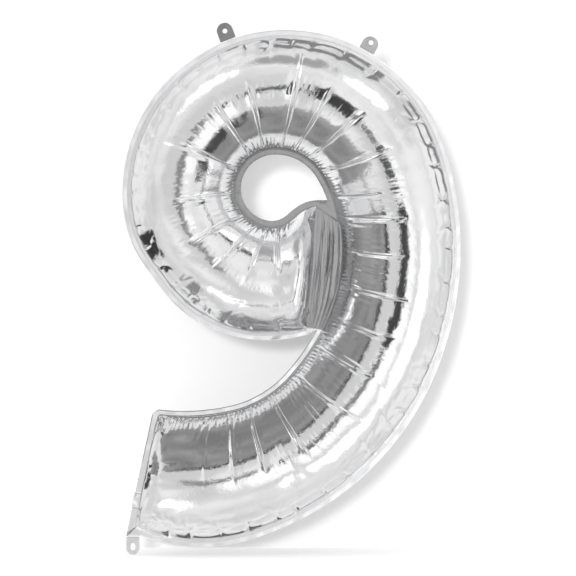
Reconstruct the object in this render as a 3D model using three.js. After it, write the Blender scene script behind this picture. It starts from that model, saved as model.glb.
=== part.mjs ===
// Foil number balloon, the numeral 9, inflated. Millimetres, +Z up, the numeral's face towards -Y.
//
// The balloon is two sheets of film, cut alike and heat-sealed round every edge. The tube between
// them is a spiral: it starts at the tail, climbs the stem, goes round the counter and ends as the
// bowl's end, beside the stem. Both of its long edges are chains of arcs, walked from the tail.
// While the outlines are drawn, the origin is at the middle of the counter.
import * as THREE from 'three';

// ---- driving dimensions ----
const PANEL = 0.6; // thickness of the inflated sheets
const PLATE = 0.6; // thickness of what is sealed flat: margins, web and tabs
const PLY = 0.3; // thickness of one loose ply, in the inlet and the valve
const GAP = 0.3; // between neighbouring pieces
const FOLD_GAP = 0.5; // from a fold line to the edges beside it
const MARGIN = 9; // width of the sealed margin round the outside
const COUNTER_MARGIN = 10; // width of the sealed margin round the counter
const HALF_DEPTH = 0.44; // of the tube, as a share of its width
const CROWN_AT = 0.6; // where the tube is deepest, as a share of the way out from its inner edge
const TAIL_ROUNDING = 90; // length over which the tube's depth dies away at the tail
const BOWL_ROUNDING = 50; // the same at the bowl's end
const ACROSS = 8; // facets across the tube

// One row for each zone of the tube, from the tail on. Each edge has one arc in it: radius and
// degrees of turn, to the left where they are positive. Then come the stations along the zone.
const ZONES = [
  { name: 'tail', inner: [366, 19], outer: [273, 40.5], stations: 9, crowd: 'start' },
  { name: 'sweep', inner: [187, 36], outer: [486, 36], stations: 8 },
  { name: 'below_crotch', inner: [392, 13], outer: [478, 16], stations: 4 },
  { name: 'stem', inner: [289, 33], outer: [549, 24.5], stations: 7 },
  { name: 'shoulder', inner: [234, 27], outer: [530, 17.5], stations: 5 },
  { name: 'crown_right', inner: [90, 61], outer: [279, 74], stations: 9 },
  { name: 'crown_left', inner: [67, 84], outer: [271, 93.5], stations: 11 },
  { name: 'cheek', inner: [64, 32], outer: [185, 27], stations: 3 },
  { name: 'flat_cheek', inner: [64, 32], outer: [1318, 2.5], stations: 2 },
  { name: 'bowl', inner: [64, 32], outer: [215, 59], stations: 6 },
  { name: 'bowl_lip', inner: [41, 50], outer: [347, 4], stations: 3 },
  { name: 'bowl_end', inner: [-48, -52], outer: [347, 4.5], stations: 7, crowd: 'end' },
];
const INNER_START = { x: -205, z: -377, heading: -6.7 };
const OUTER_START = { x: -248, z: -573, heading: -25 };

const CROTCH_ZONE = 'below_crotch'; // the bowl's end meets the stem at the end of this zone
const WEB_FOOT = 12; // from the bowl's lowest corner up to the web
const WEB_TOP = { zone: 'shoulder', share: 0.2 }; // the web's top corner on the stem's seam
const COUNTER_START = { zone: 'shoulder', share: 0.6 }; // the counter's own lowest right corner

const TOP_TAB = { width: 27, hole: 4, holeAt: 16 };
const LEFT_TAB = { ...TOP_TAB, length: 30, zone: 'crown_left', share: 0.2 };
const RIGHT_TAB = { ...TOP_TAB, length: 26, zone: 'crown_right', share: 0.5 };
const TAIL_TAB = { width: 22, length: 30, hole: 4, holeAt: 17, x: -247, z: -580 };
const EAR_DROP = 1; // the margin's ear above the tail tab ends this far above the fold line

const INLET = { width: 24, fromCorner: 45, overhang: 3 };
const VALVE = { width: 22, length: 120, inset: 10 };

const FILM_COLOUR = 0xc9cbce;
const SEALED_COLOUR = 0xd9dadc;
const VALVE_COLOUR = 0xeef3f5;

const radians = THREE.MathUtils.degToRad;

// ---- the two edges of the tube ----

// Stations along one edge, each with the direction of travel, and the zone each zone ends at.
function walkEdge(start, side) {
  const stations = [{ x: start.x, z: start.z, heading: radians(start.heading) }];
  for (const zone of ZONES) {
    const from = stations[stations.length - 1];
    const [radius, turn] = zone[side];
    for (let i = 1; i <= zone.stations; i++) {
      const heading = from.heading + radians(turn) * shareAt(zone, i);
      stations.push({
        x: from.x + radius * (Math.sin(heading) - Math.sin(from.heading)),
        z: from.z - radius * (Math.cos(heading) - Math.cos(from.heading)),
        heading,
      });
    }
  }
  return stations;
}

// The share of the zone's arc at its i-th station; stations crowd together where the tube is shut.
function shareAt(zone, i) {
  const share = i / zone.stations;
  if (zone.crowd === 'start') return 1 - Math.cos((share * Math.PI) / 2);
  if (zone.crowd === 'end') return Math.sin((share * Math.PI) / 2);
  return share;
}

// The station nearest to a share of a zone.
function stationIndex(zoneName, share) {
  let index = 0;
  for (const zone of ZONES) {
    if (zone.name === zoneName) return index + Math.round(share * zone.stations);
    index += zone.stations;
  }
  throw new Error('no zone named ' + zoneName);
}

// A point beside a station: positive distances lie to the left of the direction of travel.
function beside(station, distance) {
  return new THREE.Vector2(
    station.x - distance * Math.sin(station.heading),
    station.z + distance * Math.cos(station.heading),
  );
}

function direction(station) {
  return new THREE.Vector2(Math.cos(station.heading), Math.sin(station.heading));
}

const innerSeam = walkEdge(INNER_START, 'inner');
const outerEdge = walkEdge(OUTER_START, 'outer');
const crotch = stationIndex(CROTCH_ZONE, 1);
const last = innerSeam.length - 1;

// The bowl's end, from its lowest corner up to its tip beside the counter.
const bowlCorner = beside(outerEdge[last], MARGIN);
const bowlTip = beside(innerSeam[last], 0);
const upTheBowlEnd = bowlTip.clone().sub(bowlCorner).normalize();
const webFoot = bowlCorner.clone().addScaledVector(upTheBowlEnd, WEB_FOOT);

// ---- the inflated sheets ----

// How far the tube is blown up at each station: nothing at its two ends, 1 along the rest.
function fullness() {
  const middle = innerSeam.map((station, i) => {
    const inner = beside(station, 0);
    return inner.lerp(beside(outerEdge[i], MARGIN), CROWN_AT);
  });
  const travelled = [0];
  for (let i = 1; i <= last; i++) {
    travelled.push(travelled[i - 1] + middle[i].distanceTo(middle[i - 1]));
  }
  return travelled.map((distance) => {
    const tail = Math.min(1, distance / TAIL_ROUNDING);
    const bowl = Math.min(1, (travelled[last] - distance) / BOWL_ROUNDING);
    return Math.sqrt(1 - (1 - tail) ** 2) * Math.sqrt(1 - (1 - bowl) ** 2);
  });
}

// The sheet's outside as a grid of points: rows along the tube, columns from inner to outer seam.
function sheetGrid() {
  const skew = Math.log(CROWN_AT) / Math.log(0.5);
  const full = fullness();
  const endInset = (i) => (i === 0 ? GAP : i === last ? -GAP : 0);
  return innerSeam.map((station, i) => {
    const inner = beside(station, -GAP).addScaledVector(direction(station), endInset(i));
    const outer = beside(outerEdge[i], MARGIN + GAP);
    outer.addScaledVector(direction(outerEdge[i]), endInset(i));
    const depth = HALF_DEPTH * inner.distanceTo(outer) * full[i];
    const row = [];
    for (let j = 0; j <= ACROSS; j++) {
      const angle = (Math.PI * j) / ACROSS;
      const place = inner.clone().lerp(outer, ((1 - Math.cos(angle)) / 2) ** skew);
      row.push(new THREE.Vector3(place.x, -GAP / 2 - depth * Math.sin(angle), place.y));
    }
    return row;
  });
}

// The same grid one film thickness further in. At the rims the film is thick in the seam's plane.
function insideOf(grid) {
  const rows = grid.length - 1;
  return grid.map((row, i) =>
    row.map((point, j) => {
      const along = grid[Math.min(rows, i + 1)][j].clone().sub(grid[Math.max(0, i - 1)][j]);
      const across = row[Math.min(ACROSS, j + 1)].clone().sub(row[Math.max(0, j - 1)]);
      const outward = across.cross(along).normalize();
      if (i === 0 || i === rows || j === 0 || j === ACROSS) outward.setY(0);
      if (i === 0) outward.sub(towardsRow(grid, 1, j));
      if (i === rows) outward.sub(towardsRow(grid, rows - 1, j));
      return point.clone().addScaledVector(outward.normalize(), -PANEL);
    }),
  );
}

// The level direction from an end row of the grid to the given row beside it.
function towardsRow(grid, row, j) {
  const end = row === 1 ? 0 : grid.length - 1;
  return grid[row][j].clone().sub(grid[end][j]).setY(0).normalize();
}

// A dished sheet of film as one closed body. side is 1 for the front and -1 for the rear.
function inflatedSheet(side) {
  const outside = sheetGrid();
  const layers = [outside, insideOf(outside)];
  const rows = outside.length;
  const columns = ACROSS + 1;
  const positions = layers.flat(2).flatMap((p) => [p.x, p.y * side, p.z]);
  const indices = [];
  const at = (layer, i, j) => (layer * rows + i) * columns + j;
  const quad = (a, b, c, d) => {
    indices.push(...(side > 0 ? [a, b, c, a, c, d] : [c, b, a, d, c, a]));
  };
  for (let i = 0; i + 1 < rows; i++) {
    for (let j = 0; j + 1 < columns; j++) {
      quad(at(0, i, j), at(0, i, j + 1), at(0, i + 1, j + 1), at(0, i + 1, j));
      quad(at(1, i, j), at(1, i + 1, j), at(1, i + 1, j + 1), at(1, i, j + 1));
    }
    quad(at(0, i, 0), at(0, i + 1, 0), at(1, i + 1, 0), at(1, i, 0));
    quad(at(0, i + 1, ACROSS), at(0, i, ACROSS), at(1, i, ACROSS), at(1, i + 1, ACROSS));
  }
  for (let j = 0; j + 1 < columns; j++) {
    quad(at(0, 0, j + 1), at(0, 0, j), at(1, 0, j), at(1, 0, j + 1));
    quad(at(0, rows - 1, j), at(0, rows - 1, j + 1), at(1, rows - 1, j + 1), at(1, rows - 1, j));
  }
  const geometry = new THREE.BufferGeometry();
  geometry.setAttribute('position', new THREE.Float32BufferAttribute(positions, 3));
  geometry.setIndex(indices);
  geometry.computeVertexNormals();
  return geometry;
}

// ---- what lies flat in the seam's plane ----

// A flat plate from an outline in x and z, with its middle at the given y.
function plate(outline, thickness, holes = [], y = 0) {
  const shape = new THREE.Shape(outline);
  shape.holes = holes;
  const geometry = new THREE.ExtrudeGeometry(shape, {
    depth: thickness,
    bevelEnabled: false,
    curveSegments: 12,
  });
  geometry.rotateX(Math.PI / 2);
  geometry.translate(0, y + thickness / 2, 0);
  return geometry;
}

// The tail's end: the line of the seam and the line of the cut edge, from the lower corner up.
const tailSeam = [beside(outerEdge[0], MARGIN), beside(innerSeam[0], 0)];
const tailEdge = [
  beside(outerEdge[0], 0).addScaledVector(direction(outerEdge[0]), -MARGIN),
  beside(innerSeam[0], MARGIN).addScaledVector(direction(innerSeam[0]), -MARGIN),
];
const upTheEnd = tailEdge[1].clone().sub(tailEdge[0]).normalize();
const outOfTheEnd = new THREE.Vector2(-upTheEnd.y, upTheEnd.x);

// The point at a distance up the tail's seam, and the point of the cut edge square across from it.
function onTailSeam(distance) {
  const seam = tailSeam[1].clone().sub(tailSeam[0]).normalize();
  return tailSeam[0].clone().addScaledVector(seam, distance);
}

function onTailEdge(distance) {
  const up = onTailSeam(distance).sub(tailEdge[0]).dot(upTheEnd);
  return tailEdge[0].clone().addScaledVector(upTheEnd, up);
}

// The sealed margin round the outside. It starts below the inlet, goes down to the tail's corner
// and round the whole balloon, and ends above the inlet.
function outerSeamBand() {
  const foldLine = TAIL_TAB.z + EAR_DROP;
  const ear = [
    new THREE.Vector2(TAIL_TAB.x - TAIL_TAB.width / 2, foldLine),
    new THREE.Vector2(TAIL_TAB.x + TAIL_TAB.width / 2, foldLine),
  ];
  const clearOfEar = outerEdge.slice(outerEdge.findIndex((station) => station.x > ear[1].x));
  const cutEdge = [
    onTailEdge(INLET.fromCorner - INLET.width / 2),
    tailEdge[0],
    ...ear,
    ...clearOfEar.map((station) => beside(station, 0)),
    ...innerSeam.slice(0, crotch + 1).reverse().map((station) => beside(station, MARGIN)),
    tailEdge[1],
    onTailEdge(INLET.fromCorner + INLET.width / 2),
  ];
  const seam = [
    onTailSeam(INLET.fromCorner - INLET.width / 2),
    ...outerEdge.map((station) => beside(station, MARGIN)),
    webFoot,
    ...innerSeam.slice(0, crotch + 2).reverse().map((station) => beside(station, 0)),
    onTailSeam(INLET.fromCorner + INLET.width / 2),
  ];
  return plate([...cutEdge, ...seam.reverse()], PLATE);
}

// The sealed margin round the counter, closed across the top of the web.
function counterSeamBand() {
  const seam = innerSeam.slice(stationIndex(WEB_TOP.zone, WEB_TOP.share));
  const cutEdge = innerSeam.slice(stationIndex(COUNTER_START.zone, COUNTER_START.share));
  const hole = new THREE.Path(cutEdge.map((station) => beside(station, COUNTER_MARGIN)));
  return plate(seam.map((station) => beside(station, 0)), PLATE, [hole]);
}

// The flat film that closes the slit between the bowl's end and the stem.
function bridgeWeb() {
  const stem = innerSeam.slice(crotch + 1, stationIndex(WEB_TOP.zone, WEB_TOP.share) + 1);
  const stemSide = stem.map((station) => beside(station, GAP));
  const acrossTheWeb = new THREE.Vector2(upTheBowlEnd.y, -upTheBowlEnd.x);
  const top = bowlTip.clone().addScaledVector(acrossTheWeb, GAP);
  const bottom = webFoot.clone().addScaledVector(acrossTheWeb, GAP);
  stemSide[0].addScaledVector(upTheBowlEnd, GAP);
  stemSide[stemSide.length - 1].addScaledVector(upTheBowlEnd, -2 * GAP);
  top.addScaledVector(upTheBowlEnd, -2 * GAP);
  bottom.addScaledVector(upTheBowlEnd, 2 * GAP);
  return plate([bottom, ...stemSide, top], PLATE);
}

// ---- tabs, inlet and valve ----

// A tab as it hangs on its fold line: the line is local X, and the tab goes up local Z.
function tabGeometry({ width, length, hole, holeAt }) {
  const radius = width / 2;
  const shape = new THREE.Shape();
  shape.moveTo(-radius, FOLD_GAP);
  shape.lineTo(radius, FOLD_GAP);
  shape.lineTo(radius, length - radius);
  shape.absarc(0, length - radius, radius, 0, Math.PI, false);
  const punched = new THREE.Path().absarc(0, holeAt, hole, 0, 2 * Math.PI, true);
  return plate(shape.getPoints(6), PLATE, [punched]);
}

// Puts a tab on the outside edge, square to it.
function placeOnEdge(mesh, { zone, share }) {
  const station = outerEdge[stationIndex(zone, share)];
  const root = beside(station, -FOLD_GAP);
  mesh.position.set(root.x, 0, root.y);
  mesh.rotation.y = Math.PI - station.heading;
  return mesh;
}

// One lip of the inlet: the unsealed ply that crosses the margin and stands a little proud of it.
function inletLip(side) {
  const half = INLET.width / 2 - GAP;
  const reach = MARGIN + INLET.overhang;
  const corners = [-half, half].map((across) => onTailSeam(INLET.fromCorner + across));
  const outline = [
    corners[0].clone().addScaledVector(outOfTheEnd, FOLD_GAP),
    corners[0].clone().addScaledVector(outOfTheEnd, reach),
    corners[1].clone().addScaledVector(outOfTheEnd, reach),
    corners[1].clone().addScaledVector(outOfTheEnd, FOLD_GAP),
  ];
  return plate(outline, PLY, [], (-side * (GAP + PLY)) / 2);
}

// One ply of the self-sealing sleeve, flat against the other inside the tail.
function valveFilm(side) {
  const half = VALVE.width / 2;
  const corners = [-half, half].map((across) => onTailSeam(INLET.fromCorner + across));
  const outline = [
    corners[0].clone().addScaledVector(outOfTheEnd, -VALVE.inset),
    corners[1].clone().addScaledVector(outOfTheEnd, -VALVE.inset),
    corners[1].clone().addScaledVector(outOfTheEnd, -VALVE.inset - VALVE.length),
    corners[0].clone().addScaledVector(outOfTheEnd, -VALVE.inset - VALVE.length),
  ];
  return plate(outline, PLY, [], (-side * (GAP + PLY)) / 2);
}

// ---- assembly ----

function foil(colour, roughness) {
  return new THREE.MeshStandardMaterial({ color: colour, roughness, metalness: 1 });
}

function clearFilm() {
  return new THREE.MeshStandardMaterial({ color: VALVE_COLOUR, roughness: 0.3, metalness: 0 });
}

function named(name, geometry, material) {
  const mesh = new THREE.Mesh(geometry, material);
  mesh.name = name;
  return mesh;
}

const tailTab = named('tail_tab', tabGeometry(TAIL_TAB), foil(SEALED_COLOUR, 0.25));
tailTab.position.set(TAIL_TAB.x, 0, TAIL_TAB.z);
tailTab.rotation.y = Math.PI;

const balloon = new THREE.Group();
balloon.add(
  named('front_panel', inflatedSheet(1), foil(FILM_COLOUR, 0.1)),
  named('rear_panel', inflatedSheet(-1), foil(FILM_COLOUR, 0.1)),
  named('outer_seam_band', outerSeamBand(), foil(SEALED_COLOUR, 0.2)),
  named('counter_seam_band', counterSeamBand(), foil(SEALED_COLOUR, 0.2)),
  named('bridge_web', bridgeWeb(), foil(FILM_COLOUR, 0.2)),
  placeOnEdge(named('hang_tab_left', tabGeometry(LEFT_TAB), foil(SEALED_COLOUR, 0.25)), LEFT_TAB),
  placeOnEdge(named('hang_tab_right', tabGeometry(RIGHT_TAB), foil(SEALED_COLOUR, 0.25)), RIGHT_TAB),
  tailTab,
  named('inlet_lip_front', inletLip(1), foil(SEALED_COLOUR, 0.25)),
  named('inlet_lip_rear', inletLip(-1), foil(SEALED_COLOUR, 0.25)),
  named('valve_front_film', valveFilm(1), clearFilm()),
  named('valve_rear_film', valveFilm(-1), clearFilm()),
);

// The balloon stands on its own origin: the bottom centre of the box round all of it.
balloon.updateMatrixWorld(true);
const box = new THREE.Box3().setFromObject(balloon, true);
const centre = box.getCenter(new THREE.Vector3());
balloon.position.set(-centre.x, -centre.y, -box.min.z);

export default balloon;
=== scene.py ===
"""Foil number balloon, the numeral 9: the visual model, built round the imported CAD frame.

Two inflated sheets of metallised film, the sealed margins round them, the web between the bowl and
the stem, three punched tabs, the inlet's two lips and the valve's two films. Outlines are drawn in
millimetres, as in the CAD; everything is placed in metres.
"""
import math

import bpy
import numpy as np
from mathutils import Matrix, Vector
from numpy.linalg import norm


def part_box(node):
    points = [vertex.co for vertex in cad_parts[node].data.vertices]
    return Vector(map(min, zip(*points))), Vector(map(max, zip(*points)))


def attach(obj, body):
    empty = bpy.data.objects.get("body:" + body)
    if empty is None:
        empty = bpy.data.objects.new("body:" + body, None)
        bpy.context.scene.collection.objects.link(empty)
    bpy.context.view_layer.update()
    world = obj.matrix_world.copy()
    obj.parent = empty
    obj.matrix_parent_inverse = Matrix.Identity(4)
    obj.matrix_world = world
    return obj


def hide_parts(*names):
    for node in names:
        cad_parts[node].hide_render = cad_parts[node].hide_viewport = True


# ---- driving dimensions, millimetres ----
MM = 0.001
MARGIN = 9.0  # sealed margin round the outside
COUNTER_MARGIN = 10.0  # sealed margin round the counter
FILM = 0.5  # shown thickness of what is sealed flat
RIM = 0.15  # the sheets' rims stand this far off the seam's plane
HALF_DEPTH = 0.435  # of the tube, as a share of its width
CROWN_AT = 0.56  # where the tube is deepest, as a share of the way out from its inner seam
END_ROUNDING = 30.0  # the tube fills out over this length at its two ends
END_CLEARANCE = 0.3  # the film of the tail's last END_REACH stays this far inside its end seam
END_REACH = 60.0
STATION_STEP = 1.8  # spacing of the stations along the tube
ACROSS = 80  # facets across the tube
SMOOTHING = 4.5  # of the edges' curvature, in stations

# One row for each zone of the tube, from the tail on: its name, then radius and degrees of turn of
# the arc in its inner and in its outer edge, to the left where they are positive.
ZONES = [
    ("tail", (366, 19), (273, 40.5)),
    ("sweep", (187, 36), (486, 36)),
    ("below_crotch", (392, 13), (478, 16)),
    ("stem", (289, 33), (549, 24.5)),
    ("shoulder", (234, 27), (530, 17.5)),
    ("crown_right", (90, 61), (279, 74)),
    ("crown_left", (67, 84), (271, 93.5)),
    ("cheek", (64, 32), (185, 27)),
    ("flat_cheek", (64, 32), (1318, 2.5)),
    ("bowl", (64, 32), (215, 59)),
    ("bowl_lip", (41, 50), (347, 4)),
    ("bowl_end", (-48, -52), (347, 4.5)),
]
INNER_START = (-205.0, -377.0, -6.7)
OUTER_START = (-248.0, -573.0, -25.0)

# Slope of the tube's section in degrees, from the inner seam (0) to the crown, and on to the outer
# seam (1). The inner side is nearly straight; the outer side is round.
INNER_SLOPE = [(0.0, 66), (0.06, 55), (0.2, 47), (0.34, 39), (0.44, 22), (0.56, 0)]
OUTER_SLOPE = [(0.56, 0), (0.7, 22), (0.82, 42), (0.92, 62), (1.0, 84)]

# How much longer the film is along the tube than it has room for, from the inner to the outer seam.
SPARE_FILM = [
    (0, 0.008), (0.1, 0.022), (0.35, 0.022), (0.5, 0.015), (0.62, 0.006), (0.8, 0.004), (1, 0.006)
]

# Inflation: steps, how often the film's links are pulled straight in each, how far they are pulled,
# the gas's push in millimetres a step, the share of its speed that the film keeps, and its stiffness
# against bending.
STEPS = 300
SWEEPS = 3
PULL = 0.48
PRESSURE = 0.015
KEPT_SPEED = 0.9
STIFFNESS = 0.008

WEB_TOP = ("shoulder", 0.2)
WEB_FOOT = 5.0  # the web starts this far up the bowl's end
WEB_FOLDS = 13
COUNTER_START = ("shoulder", 0.6)

# The tabs' widths and lengths, and the radius and height of their punched holes.
TAB_WIDTH = 27.0
LEFT_TAB_LENGTH = 30.0
RIGHT_TAB_LENGTH = 26.0
HOLE_RADIUS = 4.0
HOLE_AT = 16.0
TAIL_TAB_WIDTH = 22.0
TAIL_TAB_LENGTH = 30.0
TAIL_TAB_AT = (-247.0, -580.0)
TAIL_HOLE_AT = 17.0
TAIL_HOLE_STRETCH = 1.5
EAR_DROP = 1.0  # of the margin at the tail's tab

# The inlet in the tail's end seam, and the valve's sleeve inside it.
INLET_FROM_CORNER = 45.0
INLET_WIDTH = 24.0
LIP_LENGTH = 11.3
LIP_GAP = 0.3
VALVE_WIDTH = 22.0
VALVE_LENGTH = 120.0
VALVE_FROM_SEAM = 10.0

# The long creases that run outward from the inner seam, by zone: the share of the zone, how far out
# each one reaches, and its depth.
CREASES = {
    "tail": [(0.68, 0.6, 2.6)],
    "sweep": [(0.0, 0.62, 3.0), (0.23, 0.58, 3.0), (0.57, 0.66, 3.2)],
    "below_crotch": [(0.0, 0.74, 3.4), (0.64, 0.6, 2.8)],
    "stem": [(0.14, 0.62, 3.0), (0.48, 0.66, 3.2), (0.83, 0.6, 3.0)],
    "shoulder": [(0.22, 0.62, 3.0), (0.56, 0.45, 2.4)],
    "crown_right": [(0.04, 0.66, 3.4), (0.35, 0.64, 3.2), (0.62, 0.66, 3.0), (0.85, 0.9, 4.0)],
    "crown_left": [(0.15, 0.68, 3.2), (0.38, 0.62, 3.0), (0.69, 0.95, 3.2)],
    "cheek": [(0.11, 0.66, 3.2)],
    "flat_cheek": [(0.43, 0.64, 3.0)],
    "bowl": [(0.2, 0.6, 2.8), (0.61, 0.6, 2.8)],
    "bowl_lip": [(0.2, 0.5, 2.4)],
}
CREASE_WIDTH = 3.0
CREASE_LINE = 1.5  # depth of the sharp line at the bottom of a long crease

# Folds and puckers that run in from the seams: the least and most of their spacing, depth, width and
# reach. The reach is a share of the tube's width.
INNER_FOLDS = ((16, 30), (0.6, 1.4), (2.5, 4.5), (0.2, 0.42))
OUTER_FOLDS = ((32, 60), (1.5, 3.2), (5, 9), (0.2, 0.45))
INNER_PUCKERS = ((4.2, 7.5), (1.0, 2.2), (1.0, 1.8), (0.15, 0.21))
PUCKER_WINDOW = 32  # stations on either side that a pucker can reach
STRAY_CREASES = 60  # before inflation
LATE_CREASES = 45  # after it
SOFT_FACETS = 60

# Creases that fan out from the corners of the tube's shut ends: which end, the corner's place across
# the tube, the turns between which they spread, in degrees, and the least and most of their lengths.
CORNER_FANS = [
    ("tail", 0.95, (-75, 12), (50, 190)),
    ("tail", 0.5, (-22, 22), (80, 230)),
    ("tail", 0.04, (8, 60), (30, 90)),
    ("bowl", 0.95, (-70, 0), (25, 90)),
    ("bowl", 0.06, (5, 60), (15, 50)),
]
FAN_STEP = 9.0  # degrees between the creases of a fan

# ---- the stage, metres ----
WALL_AT = 0.16  # behind the balloon's middle plane
FLOOR_AT = -0.0005
CAMERA_DISTANCE = 6.0
VIEW_WIDTH = 0.9613
VIEW_CENTRE = (-0.0059, 0.4448)
BALLOON_CENTRE = (0.0, 0.0, 0.45)
COUNTER_CENTRE = (-0.016, 0.0, 0.613)
LAMP_HALF = 0.022  # half the width of the square of small cards in the counter

# Softboxes that look at the balloon's centre: place, width and height, and brightness.
SOFTBOXES = [
    ("card_front", (1.3, -4.7, -0.35), (3.6, 3.6), 1.12),
    ("card_right", (1.2, -0.9, 0.05), (0.9, 1.5), 1.5),
    ("card_up_left", (-1.0, -0.9, 1.9), (1.0, 0.8), 1.6),
    ("card_up_right", (1.0, -0.9, 1.9), (1.0, 0.8), 1.6),
    ("card_low_right", (0.8, -0.9, -0.6), (1.0, 0.6), 1.5),
    ("card_low_left", (-0.6, -0.9, -0.7), (0.8, 0.6), 1.5),
    ("card_up", (0.05, -0.6, 2.2), (1.3, 0.9), 0.4),
    ("card_back", (0.0, 1.3, 0.45), (3.2, 3.2), 0.16),
    ("card_back_bright", (0.1, 1.2, 0.5), (1.1, 1.4), 1.0),
]

# One-sided cards square to an axis: two opposite corners, the axis that each faces (1, 2 or 3 for x,
# y or z, negative for its other way), and brightness.
BOX_CARDS = [
    ("card_top_dark", (-0.1, 0.16, 1.5), (0.62, 0.95, 1.5), -3, 0.25),
    ("card_side_dark", (1.1, 0.35, 0.75), (1.1, 0.95, 1.45), -1, 0.25),
    ("card_low_dark", (-0.34, 0.4, -0.6), (0.16, 0.95, -0.6), 3, 0.12),
    ("near_tail_side", (-0.37, -0.2, 0.17), (-0.37, 0.0, 0.27), 1, 0.27),
    ("near_hole", (-0.09, 0.1, 0.53), (0.09, 0.1, 0.7), -2, 0.27),
    ("near_below", (-0.1, -0.26, 0.6), (0.055, -0.04, 0.6), 3, 0.32),
    ("near_below_rear", (-0.16, 0.04, 0.6), (0.16, 0.17, 0.6), 3, 0.27),
    ("near_cheek", (-0.36, -0.06, 0.4), (-0.36, 0.12, 0.485), 1, 0.05),
    ("near_tail_end", (-0.4, -0.03, 0.11), (-0.4, 0.08, 0.18), 1, 0.05),
]

# Strips of card on edge that follow the tube's inner seam between two places, millimetres: distance
# from the seam, how far the lower and the upper edge stand off the seam's plane, each given for the
# strip's two ends, and brightness.
STRIPS = [
    ("near_tube", ("tail", 0.0), ("shoulder", 0.2), (105, 37), (2, 24), (420, 210), 0.28),
    ("near_tube_edge", ("tail", 0.0), ("shoulder", 0.2), (105, 37), (420, 210), (500, 258), 0.06),
    ("near_crown", ("crown_left", 0.36), ("crown_left", 0.88), (22, 22), (115, 115), (200, 200), 0.05),
]
STRIP_OVERRUN = 150.0  # a strip that starts at the tail's end starts this far before it
REAR_STRIP_FROM = 110.0  # the front sheet's steep foot does not see the rear strips

# Narrow cards that follow the tube in front of it between two places: the share of the tube's width
# that each stands before, its distance from the tube and its width in millimetres, and brightness.
FLAGS = [
    ("flag_tail", ("tail", 0.05), ("sweep", 0.35), 0.5, 200, 34, 0.3),
    ("flag_sweep", ("sweep", 0.5), ("stem", 0.1), 0.57, 200, 40, 0.22),
    ("flag_stem", ("stem", 0.1), ("shoulder", 0.42), 0.565, 200, 72, 0.06),
    ("flag_shoulder", ("shoulder", 0.55), ("crown_right", 0.04), 0.49, 180, 60, 0.09),
    ("flag_corner", ("crown_right", 0.07), ("crown_right", 0.33), 0.46, 180, 45, 0.2),
    ("flag_crown", ("crown_right", 0.38), ("crown_right", 0.8), 0.53, 160, 95, 0.05),
    ("flag_top", ("crown_right", 0.8), ("crown_left", 0.3), 0.5, 200, 32, 0.12),
    ("flag_cheek", ("crown_left", 0.5), ("bowl", 0.3), 0.56, 200, 42, 0.25),
    ("flag_cheek_inner", ("crown_left", 0.5), ("bowl", 0.2), 0.44, 200, 24, 0.4),
]
CARD_STEP = 6  # stations between the rows of a strip or flag

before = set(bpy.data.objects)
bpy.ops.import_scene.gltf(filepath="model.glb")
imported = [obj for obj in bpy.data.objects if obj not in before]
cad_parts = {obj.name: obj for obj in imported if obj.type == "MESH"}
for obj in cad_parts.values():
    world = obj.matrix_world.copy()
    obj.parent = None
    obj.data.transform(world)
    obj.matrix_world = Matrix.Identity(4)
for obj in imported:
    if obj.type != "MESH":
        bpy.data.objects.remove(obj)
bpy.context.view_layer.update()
scene = bpy.context.scene


# ---- small helpers ----


def smoothstep(low, high, value):
    share = np.clip((value - low) / (high - low), 0.0, 1.0)
    return share * share * (3.0 - 2.0 * share)


def smoothed(points, sigma):
    """Points along an open line, smoothed by a Gaussian; the line's ends stay where they are."""
    reach = int(4 * sigma)
    kernel = np.exp(-0.5 * (np.arange(-reach, reach + 1) / sigma) ** 2)
    kernel /= kernel.sum()
    before = 2 * points[0] - points[1 : reach + 1][::-1]
    after = 2 * points[-1] - points[-reach - 1 : -1][::-1]
    padded = np.vstack([before, points, after])
    return np.column_stack([np.convolve(column, kernel, "valid") for column in padded.T])


def lengths_along(points):
    steps = norm(np.diff(points, axis=0), axis=-1)
    return np.concatenate([np.zeros_like(steps[:1]), np.cumsum(steps, axis=0)])


# ---- the two edges of the tube ----


def zone_samples():
    """The shares of each zone's arcs at its stations; they crowd together where the tube is shut."""
    rows = []
    for index, (_name, *arcs) in enumerate(ZONES):
        lengths = [abs(radius * math.radians(turn)) for radius, turn in arcs]
        count = max(4, round(0.5 * sum(lengths) / STATION_STEP))
        share = np.arange(1, count + 1) / count
        if index == 0:
            share = 0.5 * share + 0.5 * (1 - np.cos(share * np.pi / 2))
        if index == len(ZONES) - 1:
            share = 0.5 * share + 0.5 * np.sin(share * np.pi / 2)
        rows.append(share)
    return rows


def walk_edge(start, side):
    """Stations along one edge: x, z and heading, each zone one arc."""
    x, z, heading = start[0], start[1], math.radians(start[2])
    stations = [[(x, z, heading)]]
    for zone, shares in zip(ZONES, SHARES):
        radius, turn = zone[side]
        headings = heading + math.radians(turn) * shares
        xs = x + radius * (np.sin(headings) - math.sin(heading))
        zs = z - radius * (np.cos(headings) - math.cos(heading))
        stations.append(np.column_stack([xs, zs, headings]))
        x, z, heading = xs[-1], zs[-1], headings[-1]
    return np.vstack(stations)


def station_at(zone_name, share):
    """The station nearest to a share of a zone."""
    index = 0
    for zone, shares in zip(ZONES, SHARES):
        if zone[0] == zone_name:
            return index + int(round(np.interp(share, np.r_[0.0, shares], np.arange(len(shares) + 1))))
        index += len(shares)
    raise ValueError(zone_name)


def beside(stations, distance):
    """Points beside stations: positive distances lie to the left of the direction of travel."""
    x, z, heading = np.asarray(stations).T
    return np.column_stack([x - distance * np.sin(heading), z + distance * np.cos(heading)])


def on_curve(points):
    """x, z and heading of a smoothed line of points."""
    tangent = np.gradient(points, axis=0)
    return np.column_stack([points, np.unwrap(np.arctan2(tangent[:, 1], tangent[:, 0]))])


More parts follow.
